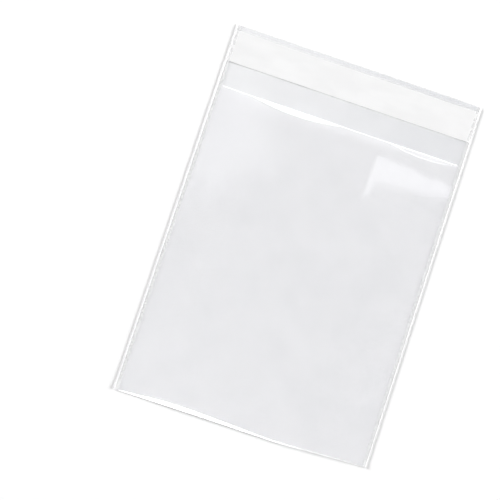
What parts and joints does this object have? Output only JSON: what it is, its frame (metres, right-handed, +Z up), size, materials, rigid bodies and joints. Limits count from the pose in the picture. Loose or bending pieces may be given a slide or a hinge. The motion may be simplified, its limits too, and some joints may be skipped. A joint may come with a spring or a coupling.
{
  "type": "clear film bag with self-seal flap",
  "caption": "Flat rectangular clear film bag with welded sides, a folded bottom, an open mouth and a flap with adhesive under a peel-off liner.",
  "frame": {"origin": "centre of the lying bag's outline, on the surface that it lies on", "axes": "+X across the bag, +Y from the bottom fold to the flap's edge, +Z up out of the front panel"},
  "size_m": [0.214, 0.3138, 0.0069],
  "materials": {
    "clear_film": "clear glossy plastic film, a little cool in tint",
    "adhesive": "thin clear pressure-sensitive adhesive",
    "frosted_liner": "frosted white film, slightly translucent"
  },
  "bodies": {
    "root": {"film_bag": "clear_film", "adhesive_strip": "adhesive", "release_liner": "frosted_liner"}
  },
  "joints": []
}
